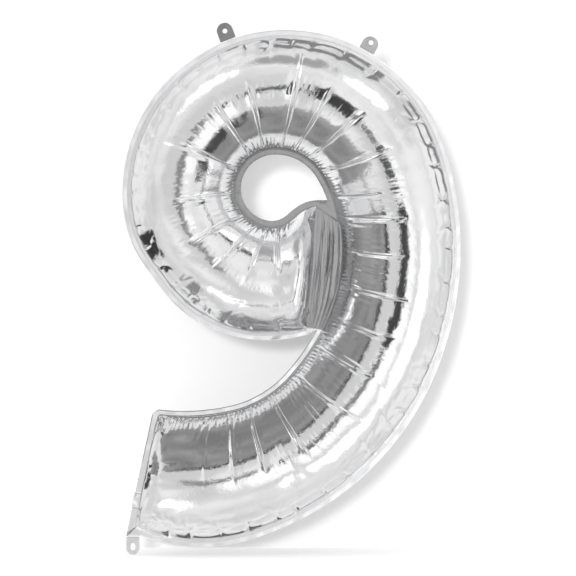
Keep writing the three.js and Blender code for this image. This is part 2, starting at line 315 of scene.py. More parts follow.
SHARES = zone_samples()
inner_seam = on_curve(smoothed(walk_edge(INNER_START, 1)[:, :2], SMOOTHING))
outer_edge = on_curve(smoothed(walk_edge(OUTER_START, 2)[:, :2], SMOOTHING))
outer_seam = beside(outer_edge, MARGIN)

# The drawing's origin in the frame, from where the CAD put the tail's tab.
tab_low, tab_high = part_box("tail_tab")
SHIFT_X = 0.5 * (tab_low.x + tab_high.x) / MM - TAIL_TAB_AT[0]
SHIFT_Z = tab_high.z / MM - (TAIL_TAB_AT[1] - 0.5)


def to_frame(points):
    """Millimetres in the drawing, x, y and z, to metres in the frame."""
    placed = np.array(points, float)
    placed[..., 0] += SHIFT_X
    placed[..., 2] += SHIFT_Z
    return placed * MM


# ---- mesh making ----


def mesh_object(name, vertices, faces, smooth=True):
    mesh = bpy.data.meshes.new(name)
    mesh.from_pydata(np.reshape(vertices, (-1, 3)), [], faces, shade_flat=not smooth)
    mesh.validate()
    piece = bpy.data.objects.new(name, mesh)
    scene.collection.objects.link(piece)
    return piece


def grid_faces(rows, columns, flip=False, closed=False):
    """Quads over a grid of rows x columns vertices; closed joins the last row to the first."""
    row = np.arange(rows if closed else rows - 1)[:, None]
    column = np.arange(columns - 1)[None, :]
    following = (row + 1) % rows
    quads = [
        row * columns + column,
        row * columns + column + 1,
        following * columns + column + 1,
        following * columns + column,
    ]
    faces = np.stack([np.broadcast_to(q, (len(row), columns - 1)).ravel() for q in quads], axis=1)
    return faces[:, ::-1] if flip else faces


# ---- the inflated sheets ----
# A sheet is a grid of points, stations along the tube by columns across it. path tells how far along
# the tube each point lies, measured on the film; lift is how far creases move it along its normal.


def integrated(slopes, places):
    """Height of the section at the places, from its slopes."""
    fine = np.linspace(slopes[0][0], slopes[-1][0], 400)
    rise = np.tan(np.radians(np.interp(fine, *zip(*slopes))))
    height = np.concatenate([[0.0], np.cumsum(0.5 * (rise[1:] + rise[:-1]) * np.diff(fine))])
    return np.interp(places, fine, height), height[-1]


def section(u):
    """Depth of the tube's section at the places u, 1 at the crown."""
    rising, full_rise = integrated(INNER_SLOPE, u)
    falling, full_fall = integrated(OUTER_SLOPE, u)
    return np.where(u < CROWN_AT, rising / full_rise, 1 - falling / full_fall)


# Places of the columns across the tube: they crowd together a little at both seams.
even = np.linspace(0, 1, ACROSS + 1)
U = 0.5 * even + 0.25 * (1 - np.cos(np.pi * even))


def fullness():
    """How far the tube is blown up at each station: nothing at its two ends, 1 along the rest."""
    inner = inner_seam[:, :2]
    path = lengths_along(inner + (outer_seam - inner) * CROWN_AT)
    tail = np.clip(path / END_ROUNDING, 0, 1)
    bowl = np.clip((path[-1] - path) / END_ROUNDING, 0, 1)
    return np.sqrt(1 - (1 - tail) ** 2) * np.sqrt(1 - (1 - bowl) ** 2)


def smooth_sheet():
    """The front sheet before its film is creased: stations x columns x (x, y, z), millimetres."""
    inner = inner_seam[:, :2]
    flat = inner[:, None, :] + (outer_seam - inner)[:, None, :] * U[:, None]
    width = norm(outer_seam - inner, axis=1)
    depth = HALF_DEPTH * (width * fullness())[:, None] * section(U)
    return np.stack([flat[..., 0], -RIM - depth, flat[..., 1]], axis=-1)


def normals_of(grid):
    along = np.gradient(grid, axis=0)
    across = np.gradient(grid, axis=1)
    normal = np.cross(across, along)
    length = norm(normal, axis=-1, keepdims=True)
    normal = normal / np.maximum(length, 1e-9)
    return np.where(normal[..., 1:2] > 0, -normal, normal)


def groove(distance, width):
    """A sharp valley with puffed sides, 1 deep."""
    return -np.exp(-np.abs(distance) / width)


def creases():
    """The station, reach and depth of each long crease."""
    for zone_name, rows in CREASES.items():
        for share, reach, depth in rows:
            yield station_at(zone_name, share), reach, depth


def long_creases(rng, path):
    """The long pleats from the inner seam outward."""
    lift = np.zeros_like(path)
    for at, reach, depth in creases():
        tilt = rng.uniform(-4, 4)
        bend = rng.uniform(-2, 2)
        distance = path - path[at] - tilt * U - bend * np.sin(5 * U)
        strength = smoothstep(0.02, 0.14, U) * (1 - smoothstep(reach - 0.22, reach, U))
        width = CREASE_WIDTH * (0.7 + 0.9 * U)
        lift += depth * strength * groove(distance, width)
        lift += 0.35 * depth * strength * groove(distance - rng.uniform(5, 8), 2.0)
    return lift


def near(path, station, reach):
    """The stations within reach of one, and how far they lie from it along the film."""
    span = slice(max(0, station - reach), min(len(path), station + reach))
    return span, path[span] - path[station]


def seam_puckers(rng, path, edge, spacing, depth, width, reach, start=0.0):
    """Short puckers that run in from one seam; edge is 0 for the inner and -1 for the outer one."""
    lift = np.zeros_like(path)
    from_seam = U if edge == 0 else 1 - U
    length = path[-1, edge]
    place = rng.uniform(*spacing)
    while place < length:
        strength = rng.uniform(*depth)
        far = rng.uniform(*reach)
        slant = rng.uniform(-6, 6)
        station = min(np.searchsorted(path[:, edge], place), len(path) - 1)
        span, along = near(path, station, PUCKER_WINDOW)
        distance = along - slant * from_seam
        fade = 1 - smoothstep(0.3 * far, far, from_seam)
        fade *= smoothstep(0.5 * start, start + 0.01, from_seam)
        wide = rng.uniform(*width) * (1 + 1.5 * from_seam)
        stations_off = np.abs(np.arange(span.start, span.stop) - station)[:, None]
        window = np.clip(1 - stations_off / PUCKER_WINDOW, 0, 1)
        lift[span] += strength * fade * groove(distance, wide) * window
        place += rng.uniform(*spacing)
    return lift


def stray_creases(rng, grid, path, count):
    """Soft creases across the outer half of the tube, each a straight line on the film."""
    lift = np.zeros_like(path)
    middle = path[:, ACROSS // 2]
    width = norm(grid[:, -1, :] - grid[:, 0, :], axis=1)
    for _ in range(count):
        place = rng.uniform(0.02, 0.98) * middle[-1]
        station = int(np.searchsorted(middle, place))
        centre = rng.uniform(0.5, 0.86)
        angle = rng.normal(0, 0.5)
        half = rng.uniform(30, 85)
        depth = rng.uniform(0.4, 1.5)
        wide = rng.uniform(5, 16)
        along = path - path[station]
        out = (U - centre) * width[station] * 1.25
        distance = along * math.cos(angle) - out * math.sin(angle)
        position = out * math.cos(angle) + along * math.sin(angle)
        fade = np.clip(1 - (position / half) ** 2, 0, 1) ** 2
        lift += depth * fade * groove(distance, wide) * (np.abs(along) < 120)
    return lift


def soft_facets(rng, path, count):
    """Broad shallow dents and swellings."""
    lift = np.zeros_like(path)
    for _ in range(count):
        station = int(rng.integers(0, len(path)))
        centre = rng.uniform(0.3, 0.95)
        along = (path - path[station]) / rng.uniform(14, 34)
        out = (U - centre) / rng.uniform(0.08, 0.25)
        lift += rng.uniform(-1.1, 0.9) * np.exp(-along**2 - out**2)
    return lift


# ---- inflation ----


def pull_together(points, first, second, rest, share):
    """Moves two sets of neighbouring points towards the distance that the film between them has."""
    a, b = points[first], points[second]
    delta = b - a
    length = np.sqrt(np.einsum("...k,...k", delta, delta))
    move = (share * (length - rest) / np.maximum(length, 1e-6))[..., None] * delta
    points[first] = a + move
    points[second] = b - move


def neighbours(count):
    """Slices that pair each item with the next one: first from the even items, then from the odd."""
    pairs = []
    for start in (0, 1):
        end = start + (count - start) // 2 * 2
        pairs.append((slice(start, end, 2), slice(start + 1, end + 1, 2)))
    return pairs


def links_of(grid, spare):
    """Pairs of neighbours along, across and on both diagonals, each with the film's own length.

    spare is the share by which the film is longer along the tube than it has room for."""
    rows, columns = grid.shape[:2]
    every, left, right = slice(None), slice(0, columns - 1), slice(1, columns)

    def apart(a, b):
        return norm(grid[b] - grid[a], axis=-1)

    links = [((a, every), (b, every), apart(a, b) * (1 + spare)) for a, b in neighbours(rows)]
    for a, b in neighbours(columns):
        links.append(((every, a), (every, b), apart((every, a), (every, b))))
    spare_between = 0.5 * (spare[1:] + spare[:-1])
    for a, b in neighbours(rows):
        straight = apart(a, b)
        straight = 0.5 * (straight[:, 1:] + straight[:, :-1])
        longer = straight**2 * ((1 + spare_between) ** 2 - 1)
        for first, second in (((a, left), (b, right)), ((a, right), (b, left))):
            links.append((first, second, np.sqrt(apart(first, second) ** 2 + longer)))
    return [(a, b, length.astype(np.float32)) for a, b, length in links]


def bending(points):
    """How far each row is from lying smoothly between the two before it and the two after it."""
    return points[4:] - 4 * points[3:-1] + 6 * points[2:-2] - 4 * points[1:-3] + points[:-4]


def blown_up(grid, spare):
    """Inflates a sheet that starts as grid. Its rim stays put."""
    points = grid.astype(np.float32)
    rim = (points[0].copy(), points[-1].copy(), points[:, 0].copy(), points[:, -1].copy())
    links = links_of(grid, spare)
    before = points.copy()
    for _ in range(STEPS):
        across = points[:, 2:] - points[:, :-2]
        along = points[2:] - points[:-2]
        normal = np.cross(across[1:-1], along[:, 1:-1])
        normal /= np.maximum(norm(normal, axis=-1, keepdims=True), 1e-6)
        speed = KEPT_SPEED * (points - before)
        before = points.copy()
        points += speed
        points[1:-1, 1:-1] += PRESSURE * normal
        for _ in range(SWEEPS):
            for first, second, rest in links:
                pull_together(points, first, second, rest, PULL)
            points[0], points[-1], points[:, 0], points[:, -1] = rim
        points[2:-2, 1:-1] -= STIFFNESS * bending(points)[:, 1:-1]
        points[1:-1, 2:-2] -= STIFFNESS * bending(points.swapaxes(0, 1)).swapaxes(0, 1)[1:-1]
        points[..., 1] = np.minimum(points[..., 1], -RIM)
    return points.astype(float)


def crease_lines(rng, path):
    """The sharp, straight lines at the bottom of the long pleats."""
    lift = np.zeros_like(path)
    for at, reach, depth in creases():
        distance = path - path[at] - rng.uniform(-3, 3) * U
        strength = smoothstep(0.03, 0.1, U) * (1 - smoothstep(reach - 0.08, reach, U))
        lift += CREASE_LINE * depth / 3 * strength * groove(distance, 1.3)
    return lift


def crown_frills(rng, path):
    """Fine cross wrinkles along the crown of the tube, strongest from the crown to the bowl."""
    lift = np.zeros_like(path)
    start, end = station_at("crown_left", 0.5), station_at("bowl", 0.25)
    station = station_at("sweep", 0.3)
    while station < station_at("bowl", 0.9):
        strong = start < station < end
        strength = 1.0 if strong else 0.6 if station < start else 0.25
        centre = rng.uniform(0.5, 0.64) if strong else rng.uniform(0.46, 0.6)
        span, along = near(path, station, 12)
        distance = along - rng.uniform(-10, 10) * (U - centre)
        fade = np.exp(-(((U - centre) / rng.uniform(0.025, 0.07)) ** 2))
        lift[span] += rng.uniform(0.3, 0.8) * strength * fade * groove(distance, 1.6)
        station += int(rng.integers(3, 6))
    return lift


def seam_pillows(rng, path):
    """The chain of small pillows along the outer seam, parted by short tucks with creases off them."""
    lift = np.zeros_like(path)
    edge = path[:, -1]
    at = rng.uniform(15, 40)
    while at < edge[-1] - 15:
        length = rng.uniform(34, 62)
        low = int(np.searchsorted(edge, at))
        high = min(int(np.searchsorted(edge, at + length)), len(edge) - 1)
        if high - low < 6:
            break
        share = ((edge[low:high] - at) / length)[:, None]
        belly = 1 - np.abs(2 * share - 1) ** 4
        centre = rng.uniform(0.95, 0.965)
        puff = np.exp(-(((U - centre) / rng.uniform(0.016, 0.024)) ** 2))
        lift[low:high] += rng.uniform(1.4, 2.8) * belly * puff
        lean = rng.uniform(-0.012, 0.012) * (2 * share - 1)
        gutter = np.exp(-np.abs(U - centre + 0.034 + 0.01 * belly + lean) / 0.008)
        lift[low:high] -= rng.uniform(0.6, 1.8) * belly * gutter
        lift += tuck(rng, path, low)
        at += length
    return lift


def tuck(rng, path, station):
    """A short tuck at the outer seam and one to three creases that fan inward from its end."""
    lift = np.zeros_like(path)
    span, along = near(path, station, 70)
    out = (U - 0.93) * 240
    lift[span] += rng.uniform(1.2, 2.4) * smoothstep(-6, 2, out) * groove(along, 1.8)
    for _ in range(int(rng.integers(1, 4))):
        angle = rng.uniform(-1.0, 1.0)
        length = rng.uniform(18, 62)
        position = -out * math.cos(angle) + along * math.sin(angle)
        distance = along * math.cos(angle) + out * math.sin(angle)
        fade = smoothstep(-2, 5, position) * (1 - smoothstep(0.2 * length, length, position))
        lift[span] += rng.uniform(0.5, 1.6) * fade * groove(distance, rng.uniform(2.5, 7))
    return lift


def corner_fans(rng, path, width):
    """Creases that fan out from the corners where the tube is shut at its ends."""
    lift = np.zeros_like(path)
    from_end = {"tail": path, "bowl": path[-1:] - path}
    for end, corner, turns, reach in CORNER_FANS:
        along = from_end[end]
        out = (U - corner) * width[:, None]
        for turn in np.arange(turns[0], turns[1], FAN_STEP):
            angle = math.radians(turn + rng.uniform(-4, 4))
            length = rng.uniform(*reach)
            position = along * math.cos(angle) + out * math.sin(angle)
            distance = out * math.cos(angle) - along * math.sin(angle)
            bow = 0.04 * length * np.sin(np.pi * np.clip(position / length, 0, 1))
            fade = smoothstep(4, 20, position) * (1 - smoothstep(0.35 * length, length, position))
            wide = rng.uniform(2.5, 6) * (1 + position.clip(0, length) / length)
            lift += rng.uniform(1.0, 2.8) * fade * groove(distance - bow, wide)
    return lift


def inflated_sheet(name, side, seed):
    """A sheet of film with all its creases. side is 1 for the front and -1 for the rear."""
    rng = np.random.default_rng(seed)
    grid = smooth_sheet()
    path = lengths_along(grid)
    lift = long_creases(rng, path)
    lift += seam_puckers(rng, path, 0, *INNER_FOLDS)
    lift += seam_puckers(rng, path, -1, *OUTER_FOLDS)
    lift += stray_creases(rng, grid, path, STRAY_CREASES)
    lift += soft_facets(rng, path, SOFT_FACETS)
    grid = displaced(grid, path, lift)
    grid = blown_up(grid, np.interp(U, *zip(*SPARE_FILM)))
    path = lengths_along(grid)
    lift = crease_lines(rng, path)
    lift += seam_puckers(rng, path, 0, *INNER_PUCKERS, start=0.035)
    lift += crown_frills(rng, path)
    lift += seam_pillows(rng, path)
    lift += 0.6 * stray_creases(rng, grid, path, LATE_CREASES)
    lift += corner_fans(rng, path, 1.3 * norm(grid[:, -1] - grid[:, 0], axis=1))
    grid = inside_the_end(displaced(grid, path, lift), path)
    grid[..., 1] *= side
    return mesh_object(name, to_frame(grid), grid_faces(*path.shape, flip=side > 0))


def inside_the_end(grid, path):
    """The sheet with the tail's last END_REACH kept inside its end seam, clear of the inlet's lips."""
    past = np.maximum((grid[..., ::2] - tail_seam[0]) @ out_of_end + END_CLEARANCE, 0)
    past[path > END_REACH] = 0
    past[0] = 0
    grid[..., ::2] -= past[..., None] * out_of_end
    return grid


def displaced(grid, path, lift):
    """The sheet moved along its normals, less and less towards its rim."""
    ends = np.minimum(path, path[-1:] - path)
    calm = smoothstep(0, 12, ends) * smoothstep(0, 0.03, np.minimum(U, 1 - U))
    moved = grid + normals_of(grid) * (lift * calm)[..., None]
    moved[..., 1] = np.minimum(moved[..., 1], -RIM)
    return moved


# ---- what lies flat in the seam's plane ----


def ribbon(name, rail_a, rail_b, columns, wave, closed=False):
    """A flat strip of film between two rails of points. wave gives its points' places in y."""
    rail_a, rail_b = np.asarray(rail_a), np.asarray(rail_b)
    share = np.linspace(0, 1, columns)
    flat = rail_a[:, None, :] + (rail_b - rail_a)[:, None, :] * share[None, :, None]
    rows, last = len(rail_a), columns - 1
    layer = rows * columns  # vertices in each of the two layers
    bent = wave(flat, share)
    layers = []
    for side in (-1, 1):
        y = bent + side * FILM / 2
        layers.append(np.stack([flat[..., 0], y, flat[..., 1]], axis=-1).reshape(-1, 3))
    front = grid_faces(rows, columns, closed=closed)
    rear = grid_faces(rows, columns, flip=True, closed=closed) + layer
    row = np.arange(rows if closed else rows - 1) * columns
    following = (row + columns) % layer
    borders = [(row, following), (following + last, row + last)]
    if not closed:
        step = np.arange(last)
        foot = layer - columns + step
        borders += [(step + 1, step), (foot, foot + 1)]
    walls = [np.stack([a, b, b + layer, a + layer], axis=1) for a, b in borders]
    faces = np.vstack([front, rear, *walls])
    if signed_area(np.vstack([rail_a, rail_b[::-1]])) > 0:
        faces = faces[:, ::-1]
    return mesh_object(name, to_frame(np.vstack(layers)), faces)


def signed_area(outline):
    x, z = outline[:, 0], outline[:, 1]
    return 0.5 * np.sum(x * np.roll(z, -1) - np.roll(x, -1) * z)


def set_back(station, point, distance=MARGIN):
    """A point moved against the tube's direction at a station."""
    return point - distance * np.array([math.cos(station[2]), math.sin(station[2])])


def unit(vector):
    return vector / norm(vector)


def line(a, b, count):
    share = np.linspace(0, 1, count)[:, None]
    return np.asarray(a) * (1 - share) + np.asarray(b) * share


tail_seam = np.vstack([outer_seam[:1], inner_seam[:1, :2]])
upper_cut = beside(inner_seam[:1], MARGIN)[0]
tail_edge = np.vstack([set_back(outer_edge[0], outer_edge[0, :2]), set_back(inner_seam[0], upper_cut)])
seam_up = unit(tail_seam[1] - tail_seam[0])
edge_up = unit(tail_edge[1] - tail_edge[0])
out_of_end = np.array([-edge_up[1], edge_up[0]])
crotch = station_at("stem", 0.0)
bowl_tip = inner_seam[-1, :2]
web_foot = outer_seam[-1] + WEB_FOOT * unit(bowl_tip - outer_seam[-1])


def on_tail_seam(distances):
    return tail_seam[0] + np.outer(distances, seam_up)


def on_tail_edge(distances):
    """The points of the tail's cut end beside places on its seam."""
    return tail_edge[0] + np.outer((on_tail_seam(distances) - tail_edge[0]) @ edge_up, edge_up)


def band_wave(seed, height, length):
    """Ripples of a sealed margin: none at the seam, growing towards the cut edge."""
    rng = np.random.default_rng(seed)
    phases = rng.uniform(0, 2 * np.pi, 6)

    def wave(flat, share):
        turns = 2 * np.pi * lengths_along(flat[:, 0, :])[:, None] / length
        ripple = sum(np.sin(turns / (0.6 + 0.37 * k) + phase) for k, phase in enumerate(phases))
        return height * ripple / 3 * share**1.2

    return wave


def outer_seam_band():
    """The margin from the inlet down, round the outside, past the web's foot and back to the inlet."""
    half = TAIL_TAB_WIDTH / 2
    ears = [(TAIL_TAB_AT[0] + off, TAIL_TAB_AT[1] + EAR_DROP) for off in (-half, half)]
    clear = int(np.argmax(outer_edge[:, 0] > ears[1][0]))
    back = inner_seam[: crotch + 1][::-1]
    below = np.linspace(INLET_FROM_CORNER - INLET_WIDTH / 2, 0, 14)
    above = np.linspace(norm(tail_seam[1] - tail_seam[0]), INLET_FROM_CORNER + INLET_WIDTH / 2, 50)
    seam_and_cut = [
        (on_tail_seam(below), np.vstack([on_tail_edge(below[:-1]), tail_edge[:1]])),
        (outer_seam[:1], ears[:1]),
        (line(outer_seam[0], outer_seam[clear], 6), line(*ears, 6)),
        (outer_seam[clear:], outer_edge[clear:, :2]),
        (
            line(web_foot, inner_seam[crotch + 4, :2], 6),
            line(outer_edge[-1, :2], beside(back[:1], MARGIN)[0], 8)[1:-1],
        ),
        (back[:, :2], beside(back, MARGIN)),
        (on_tail_seam(above), on_tail_edge(above)),
    ]
    seam, cut = (np.vstack(rail) for rail in zip(*seam_and_cut))
    return ribbon("outer_margin", seam, cut, 6, band_wave(11, 0.4, 46))


def counter_seam_band():
    start = station_at(*COUNTER_START)
    top = station_at(*WEB_TOP)
    seam = inner_seam[start:]
    hole = beside(seam, COUNTER_MARGIN)
    closing = np.vstack([line(bowl_tip, inner_seam[top, :2], 16)[1:], inner_seam[top + 1 : start, :2]])
    across = lengths_along(np.vstack([bowl_tip, closing, inner_seam[start, :2]]))
    share = (across / across[-1])[1:-1, None]
    shut = hole[-1] * (1 - share) + hole[0] * share
    rails = np.vstack([seam[:, :2], closing]), np.vstack([hole, shut])
    return ribbon("counter_margin", *rails, 6, band_wave(23, 0.16, 17), closed=True)


def bridge_web():
    stem = inner_seam[crotch + 4 : station_at(*WEB_TOP) + 1, :2]
    bowl_side = line(web_foot, bowl_tip, len(stem))
    rng = np.random.default_rng(5)
    folds = np.sort(rng.uniform(0.06, 0.94, WEB_FOLDS))

    def wave(flat, share):
        rows = np.linspace(0, 1, len(flat))[:, None]
        lift = np.zeros(flat.shape[:2])
        for k, place in enumerate(folds):
            centre = place + 0.035 * np.sin(3.5 * rows + 1.3 * k)
            ridge = np.exp(-(((share - centre) / 0.024) ** 2))
            lift += rng.uniform(0.25, 0.8) * ridge * (-1) ** k * (0.6 + 0.4 * np.sin(9 * rows + 2 * k))
        return lift * np.sin(np.pi * rows) ** 0.4 * np.sin(np.pi * share) ** 0.5

    return ribbon("web", stem, bowl_side, 64, wave)


# ---- tabs, inlet and valve ----


def tab(name, root, heading, width, length, hole_at, seed, hole_stretch=1.0):
    """A punched tab on its fold line. heading turns its fold line from +X, in radians."""
    radius = width / 2
    root = np.asarray(root)
    turns = np.linspace(0, 2 * np.pi, 72, endpoint=False)
    outline = np.array([tab_outline(angle, radius, length, hole_at) for angle in turns])
    ring_z = hole_at + hole_stretch * HOLE_RADIUS * np.sin(turns)
    ring = np.column_stack([HOLE_RADIUS * np.cos(turns), ring_z])
    cosine, sine = math.cos(heading), math.sin(heading)
    turn = np.array([[cosine, sine], [-sine, cosine]])
    lean = np.random.default_rng(seed).uniform(-0.8, 0.8)

    def wave(flat, share):
        local = (flat - root) @ turn.T
        up = local[..., 1] / length
        side = local[..., 0] / radius
        rim = 0.35 * np.exp(-((share / 0.12) ** 2))
        return (lean * side * up + 0.8 * np.sin(2.4 * side + seed) * up * up) * 0.8 - rim

    return ribbon(name, ring @ turn + root, outline @ turn + root, 9, wave, closed=True)


def tab_outline(angle, radius, length, hole_at):
    """The point of the tab's outline in a direction from the hole's centre: foot, side or round end."""
    x, z = math.cos(angle), math.sin(angle)
    centre_up = length - radius - hole_at
    reaches = []
    if z < 0:
        reaches.append((0.5 - hole_at) / z)
    if abs(x) > 1e-9 and radius / abs(x) * z <= centre_up:
        reaches.append(radius / abs(x))
    along = z * centre_up
    inside = along * along - (centre_up**2 - radius**2)
    if inside > 0 and (along + math.sqrt(inside)) * z >= centre_up - 1e-9:
        reaches.append(along + math.sqrt(inside))
    return np.array([0.0, hole_at]) + min(reaches) * np.array([x, z])


def ply(name, side, width, reach, facets, belly):
    """One ply of the inlet or valve, between two distances outward from the tail's end seam.

    side is 1 for the front; belly is how far the ply swells at shares of its length."""
    across = np.linspace(-width / 2, width / 2, facets[0])
    seam = on_tail_seam(INLET_FROM_CORNER + across)

    def wave(flat, share):
        rows = np.linspace(-1, 1, len(flat))[:, None]
        return -side * (0.3 + (1 - rows**2) * belly(share))

    root, tip = (seam + distance * out_of_end for distance in reach)
    return ribbon(name, root, tip, facets[1], wave)


def inlet_lip(name, side):
    reach = (0.5, 0.5 + LIP_LENGTH)
    belly = lambda share: 1.4 * share**1.5
    return ply(name, side, INLET_WIDTH - 2 * LIP_GAP, reach, (24, 10), belly)


def valve_film(name, side):
    reach = (-VALVE_FROM_SEAM, -VALVE_FROM_SEAM - VALVE_LENGTH)
    belly = lambda share: 0.5 * np.sin(np.pi * share) ** 0.5
    return ply(name, side, VALVE_WIDTH, reach, (16, 30), belly)


# ---- materials ----


def new_material(name, empty=False):
    """A material and its node tree, either empty or with the principled shader."""
    material = bpy.data.materials.new(name)
    material.use_nodes = True
    if empty:
        material.node_tree.nodes.clear()
    return material, material.node_tree


def fill(tree, node, sockets):
    """Sets a node's sockets, or links them where the value is another node's socket."""
    for name, value in sockets.items():
        if isinstance(value, bpy.types.NodeSocket):
            tree.links.new(value, node.inputs[name])
        else:
            node.inputs[name].default_value = value


def add(tree, kind, output, sockets, **settings):
    """Adds a node and gives back one of its outputs."""
    node = tree.nodes.new("ShaderNode" + kind)
    for name, value in settings.items():
        setattr(node, name, value)
    fill(tree, node, sockets)
    return node.outputs[output]


def place_on(tree):
    return add(tree, "TexCoord", "Object", {})


def noise(tree, scale, detail=2.0, **more):
    """Cloudy noise over the piece, 0 to 1."""
    sockets = {"Vector": place_on(tree), "Scale": scale, "Detail": detail}
    sockets.update({name.capitalize(): value for name, value in more.items()})
    return add(tree, "TexNoise", "Fac", sockets)


def mapped(tree, value, source, target, **settings):
    """A value carried from one range to another."""
    sockets = {"Value": value, "From Min": source[0], "From Max": source[1]}
    sockets.update({"To Min": target[0], "To Max": target[1]})
    return add(tree, "MapRange", "Result", sockets, **settings)


def film_material(name, tone, roughness, crinkle, scale):
    """Metallised film: a mirror with fine crinkles and slight dulling."""
    material, tree = new_material(name)
    haze = noise(tree, 9.0, 4.0)
    fine = noise(tree, scale, 5.0, roughness=0.55, distortion=0.6)
    bright = (tone, tone, tone * 1.005, 1)
    dull = (tone * 0.94, tone * 0.94, tone * 0.955, 1)
    tones = {"Factor": haze, "A": bright, "B": dull}
    surface = {
        "Base Color": add(tree, "Mix", "Result", tones, data_type="RGBA"),
        "Metallic": 1.0,
        "Roughness": mapped(tree, haze, (0.35, 0.7), (roughness, roughness * 1.7)),
        "IOR": 1.45,
        "Normal": add(tree, "Bump", "Normal", {"Strength": 1.0, "Distance": crinkle, "Height": fine}),
    }
    fill(tree, tree.nodes["Principled BSDF"], surface)
    return material


def clear_material(name):
    """Clear polyethylene of the valve."""
    material, tree = new_material(name)
    haze = noise(tree, 60.0)
    surface = {
        "Base Color": (0.86, 0.9, 0.92, 1),
        "Transmission Weight": 0.6,
        "IOR": 1.5,
        "Roughness": mapped(tree, haze, (0, 1), (0.2, 0.4)),
        "Normal": add(tree, "Bump", "Normal", {"Distance": 0.0003, "Height": haze}),
    }
    fill(tree, tree.nodes["Principled BSDF"], surface)
    return material


def glow(tree, strength):
    return add(tree, "Emission", "Emission", {"Strength": strength})


def unseen(tree):
    return add(tree, "BsdfTransparent", "BSDF", {})


def mixed(tree, share, first, second):
    return add(tree, "MixShader", "Shader", {"Fac": share, 1: first, 2: second})


def see_through_behind(tree, surface):
    """Lets light and sight through the back of a card or wall."""
    behind = add(tree, "NewGeometry", "Backfacing", {})
    return mixed(tree, behind, surface, unseen(tree))


def show(tree, surface):
    output = tree.nodes.new("ShaderNodeOutputMaterial")
    tree.links.new(surface, output.inputs["Surface"])


def glow_material(name, strength):
    """A plain card, lit unevenly: its brightness drifts by about a quarter either way."""
    material, tree = new_material(name, empty=True)
    level = mapped(tree, noise(tree, 14.0, 3.0), (0.35, 0.65), (0.75 * strength, 1.3 * strength))
    show(tree, see_through_behind(tree, glow(tree, level)))
    return material


def softbox_material(name, strength, half_x, half_z):
    """A glow that dies away towards the edges of the box and lets what is behind it show there."""
    material, tree = new_material(name, empty=True)
    shrunk = {0: place_on(tree), 1: (1 / half_x, 1 / half_z, 0)}
    from_middle = add(tree, "VectorMath", "Vector", shrunk, operation="MULTIPLY")
    length = add(tree, "VectorMath", "Value", {0: from_middle}, operation="LENGTH")
    inside = mapped(tree, length, (0.55, 1.0), (1.0, 0.0), interpolation_type="SMOOTHSTEP")
    show(tree, mixed(tree, inside, unseen(tree), glow(tree, strength)))
    return material


def wall_material(name, tone, strength):
    """Matt and pale, and lit a little from within so that no shadow on it is dark."""
    material, tree = new_material(name, empty=True)
    matt = add(tree, "BsdfDiffuse", "BSDF", {"Color": (tone, tone, tone, 1)})
    lit = add(tree, "AddShader", "Shader", {0: matt, 1: glow(tree, strength)})
    show(tree, see_through_behind(tree, lit))
    return material


def dome_material(name, dark, light, scale):
    """The reflected surroundings: bright, with soft broad changes of brightness."""
    material, tree = new_material(name, empty=True)
    clouds = noise(tree, scale, 2.5, distortion=0.8)
    show(tree, glow(tree, mapped(tree, clouds, (0.34, 0.66), (dark, light))))
    return material


# ---- studio ----


def only_in_reflections(piece):
    piece.visible_camera = piece.visible_diffuse = piece.visible_shadow = False


def stage_piece(name, vertices, faces, material):
    piece = mesh_object(name, vertices, faces, smooth=False)
    piece.data.materials.append(material)
    return piece


def put_card(name, vertices, faces, strength):
    """A plain card that only shows in reflections."""
    only_in_reflections(stage_piece(name, vertices, faces, glow_material(name, strength)))


def aimed(piece, place, towards, front):
    """Stands a piece at a place and turns its front axis to a direction."""
    piece.location = place
    piece.rotation_mode = "QUATERNION"
    piece.rotation_quaternion = Vector(towards).to_track_quat(front, "Y")


def softbox(name, place, size, strength):
    """A box of light that looks at the balloon's centre, bright in its middle."""
    x, z = size[0] / 2, size[1] / 2
    corners = [(-x, -z, 0), (x, -z, 0), (x, z, 0), (-x, z, 0)]
    piece = stage_piece(name, corners, [[0, 1, 2, 3]], softbox_material(name, strength, x, z))
    aimed(piece, place, Vector(BALLOON_CENTRE) - Vector(place), "Z")
    only_in_reflections(piece)


def box_card(name, low, high, faces_axis, strength):
    """A one-sided card square to an axis, as in BOX_CARDS."""
    first, second = abs(faces_axis) % 3, (abs(faces_axis) + 1) % 3
    corners = []
    for a, b in ((low, low), (high, low), (high, high), (low, high)):
        corner = list(low)
        corner[first] = a[first]
        corner[second] = b[second]
        corners.append(corner)
    face = [0, 1, 2, 3] if faces_axis > 0 else [3, 2, 1, 0]
    put_card(name, corners, [face], strength)


def counter_lamps():
    """Four small cards back to back in the counter, which light the puckers round it."""
    for axis in (1, -1, 3, -3):
        low = [-LAMP_HALF, -0.04, -LAMP_HALF]
        high = [LAMP_HALF, 0.025, LAMP_HALF]
        low[abs(axis) - 1] = high[abs(axis) - 1] = math.copysign(LAMP_HALF, axis)
        corners = [np.add(corner, COUNTER_CENTRE) for corner in (low, high)]
        box_card(f"hole_lamp_{axis}", *corners, axis, 0.85)


def rows_of(rail, *depths):
    """Points over a rail of x and z, one column for each depth in y, in metres."""
    columns = [np.column_stack([rail[:, 0], np.broadcast_to(y, len(rail)), rail[:, 1]]) for y in depths]
    return to_frame(np.stack(columns, axis=1))


